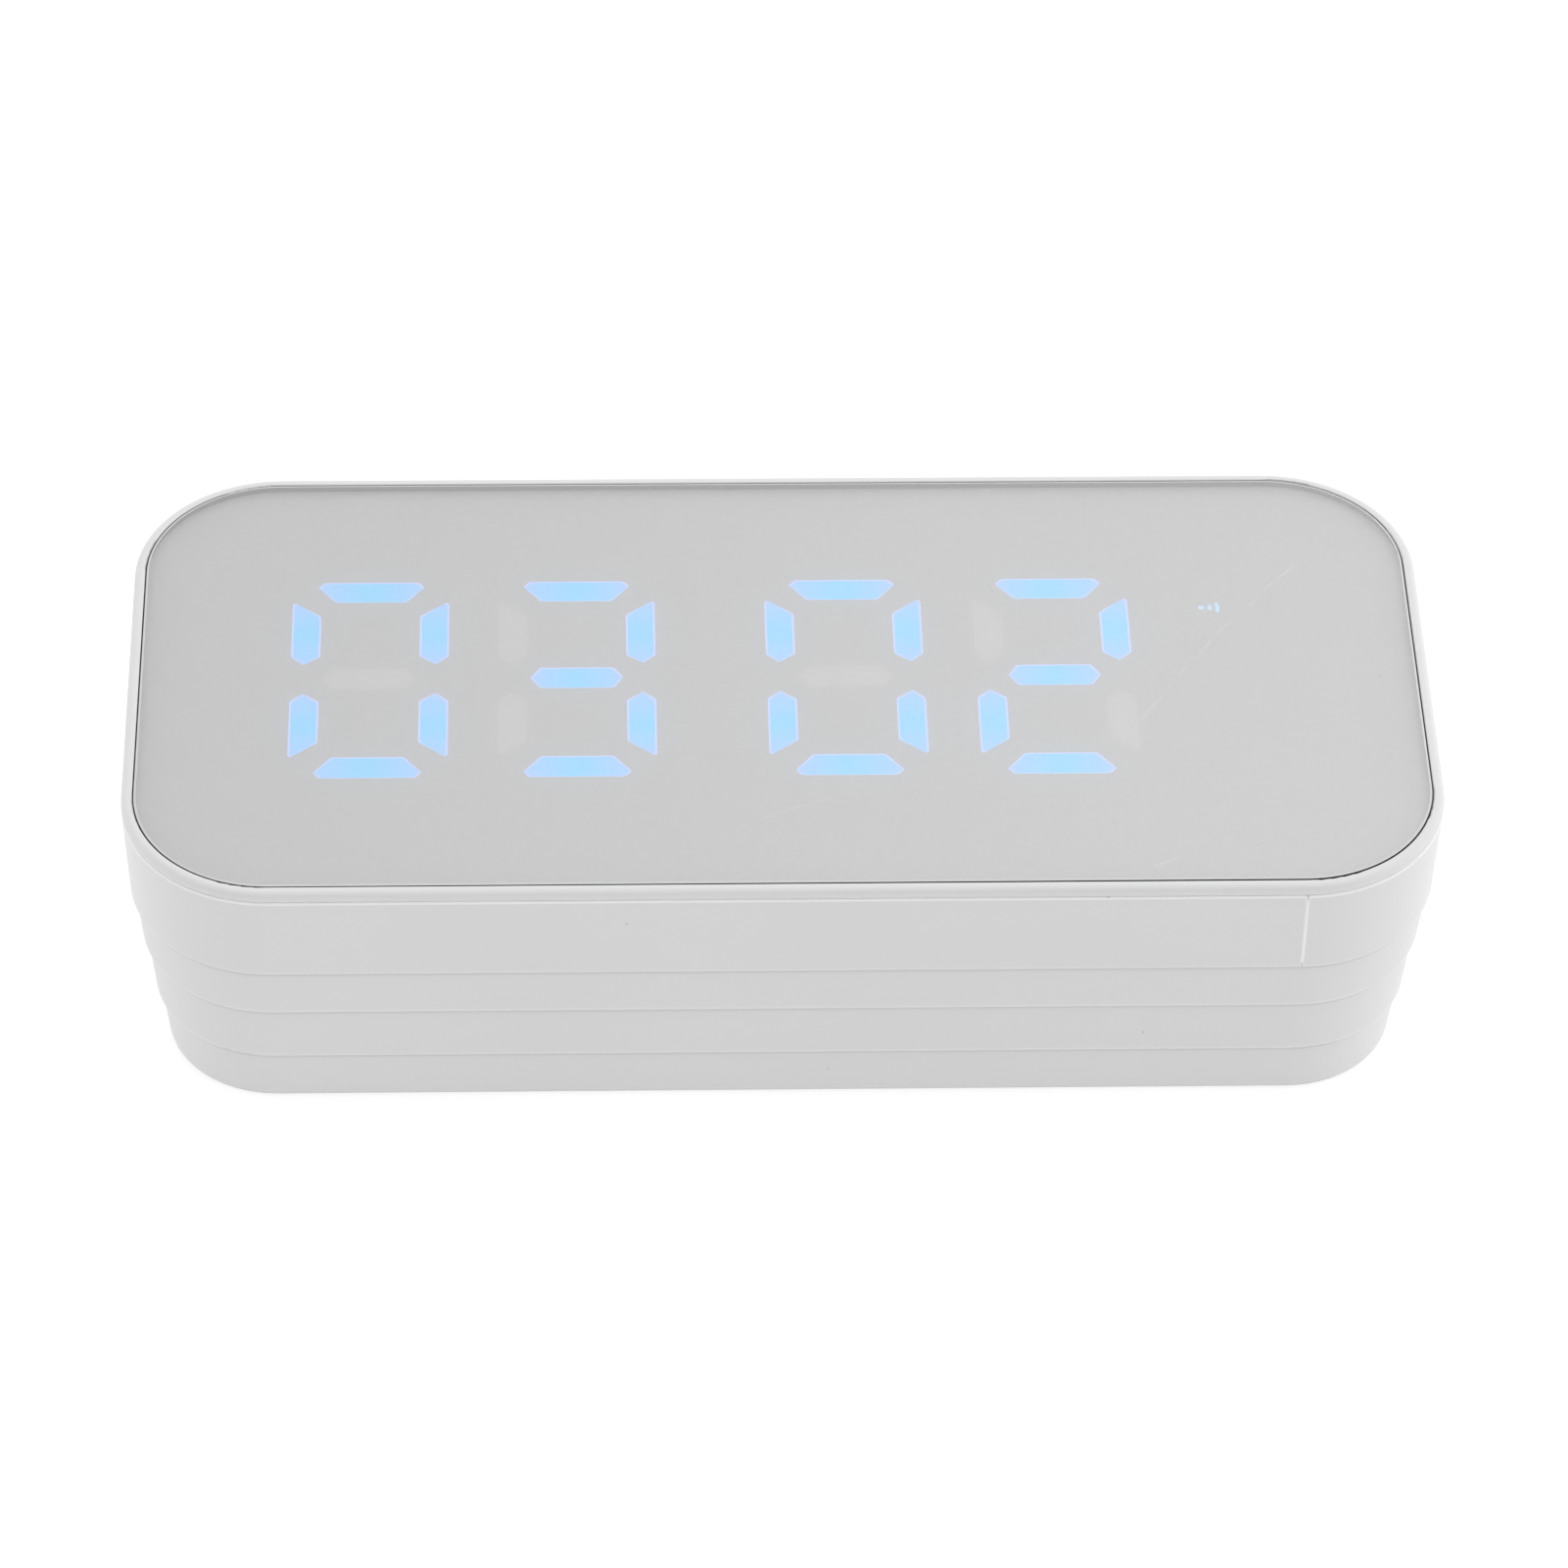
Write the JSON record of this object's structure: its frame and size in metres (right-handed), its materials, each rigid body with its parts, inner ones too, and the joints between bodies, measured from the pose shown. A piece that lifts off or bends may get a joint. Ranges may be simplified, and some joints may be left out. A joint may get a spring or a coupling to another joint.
{
  "type": "alarm clock",
  "caption": "Mirror-face digital alarm clock with a stepped white housing, lit digits behind the mirror, top buttons and a rear speaker, lying on its back.",
  "frame": {"origin": "middle of the flat back of the housing, on the surface the clock lies on", "axes": "+X along the width, to the right of someone who reads the digits; +Y up the face, towards the top buttons; +Z out of the mirror. The clock is stored lying on its back, mirror up; turned +90 degrees about X it stands with its buttons on top"},
  "size_m": [0.152, 0.0737, 0.0363],
  "materials": {
    "housing_white": "fine satin moulded ABS",
    "belt_white": "fine satin moulded strip",
    "button_white": "satin moulded ABS",
    "half_mirror": "half-silvered acrylic",
    "tape_black": "foam adhesive tape",
    "reflector_white": "moulded reflector",
    "segment_lit": "lit diffuser",
    "segment_dark": "unlit diffuser",
    "board_green": "solder-masked board",
    "led_yellow": "phosphor cap",
    "screw_steel": "zinc plated",
    "shield_steel": "tinned shell",
    "chip_black": "moulded black",
    "capacitor_can": "sleeved can",
    "socket_white": "moulded nylon",
    "ribbon_white": "flat flex",
    "battery_can": "blue shrink sleeve over a metal can",
    "foam_grey": "closed-cell foam",
    "lead_red": "silicone insulation",
    "speaker_steel": "black pressed steel",
    "magnet_dark": "ferrite and plated yoke",
    "cone_paper": "pressed pulp",
    "coil_copper": "enamelled copper winding",
    "surround_rubber": "rolled rubber",
    "cloth_grey": "woven acoustic mesh"
  },
  "bodies": {
    "root": {"amplifier_chip": "chip_black", "audio_jack": "chip_black", "battery_cell": "battery_can", "battery_foam_pad": "foam_grey", "battery_leads": "lead_red", "board_capacitors": "capacitor_can", "card_socket": "shield_steel", "case_screws": "screw_steel", "colon_dots": "segment_dark", "digit_1_dark_segments": "segment_dark", "digit_1_lit_segments": "segment_lit", "digit_2_dark_segments": "segment_dark", "digit_2_lit_segments": "segment_lit", "digit_3_dark_segments": "segment_dark", "digit_3_lit_segments": "segment_lit", "digit_4_dark_segments": "segment_dark", "digit_4_lit_segments": "segment_lit", "display_board": "board_green", "display_reflector": "reflector_white", "display_screws": "screw_steel", "front_bezel": "housing_white", "grille_cloth": "cloth_grey", "indicator_light": "segment_lit", "led_chips": "led_yellow", "main_board": "board_green", "main_board_screws": "screw_steel", "mirror_panel": "half_mirror", "mirror_tape": "tape_black", "power_switch_body": "shield_steel", "processor_chip": "chip_black", "radio_module": "shield_steel", "rear_housing": "housing_white", "ribbon_cable": "ribbon_white", "ribbon_sockets": "socket_white", "speaker_frame": "speaker_steel", "speaker_gasket": "foam_grey", "speaker_leads": "lead_red", "speaker_magnet": "magnet_dark", "speaker_screws": "screw_steel", "speaker_surround": "surround_rubber", "tact_switches": "chip_black", "trim_belt": "belt_white", "usb_socket": "shield_steel", "wire_sockets": "socket_white"},
    "power_key": {"power_button": "button_white", "power_plunger": "chip_black"},
    "previous_key": {"previous_button": "button_white", "previous_plunger": "chip_black"},
    "play_key": {"play_button": "button_white", "play_plunger": "chip_black"},
    "next_key": {"next_button": "button_white", "next_plunger": "chip_black"},
    "alarm_key": {"alarm_button": "button_white", "alarm_plunger": "chip_black"},
    "power_switch": {"power_switch_knob": "chip_black"},
    "speaker_motion": {"speaker_cone": "cone_paper", "speaker_coil": "coil_copper"}
  },
  "joints": [
    {"name": "power_press", "type": "slide", "parent": "root", "child": "power_key", "axis": [0, -1, 0], "range_m": [0, 0.0005], "stiffness_N_per_m": 400, "springref_m": -0.0005},
    {"name": "previous_press", "type": "slide", "parent": "root", "child": "previous_key", "axis": [0, -1, 0], "range_m": [0, 0.0005], "stiffness_N_per_m": 400, "springref_m": -0.0005},
    {"name": "play_press", "type": "slide", "parent": "root", "child": "play_key", "axis": [0, -1, 0], "range_m": [0, 0.0005], "stiffness_N_per_m": 400, "springref_m": -0.0005},
    {"name": "next_press", "type": "slide", "parent": "root", "child": "next_key", "axis": [0, -1, 0], "range_m": [0, 0.0005], "stiffness_N_per_m": 400, "springref_m": -0.0005},
    {"name": "alarm_press", "type": "slide", "parent": "root", "child": "alarm_key", "axis": [0, -1, 0], "range_m": [0, 0.0005], "stiffness_N_per_m": 400, "springref_m": -0.0005},
    {"name": "power_switch_slide", "type": "slide", "parent": "root", "child": "power_switch", "axis": [1, 0, 0], "range_m": [0, 0.002]},
    {"name": "speaker_cone_travel", "type": "slide", "parent": "root", "child": "speaker_motion", "axis": [0, 0, 1], "range_m": [-0.0005, 0.0005], "stiffness_N_per_m": 800}
  ]
}
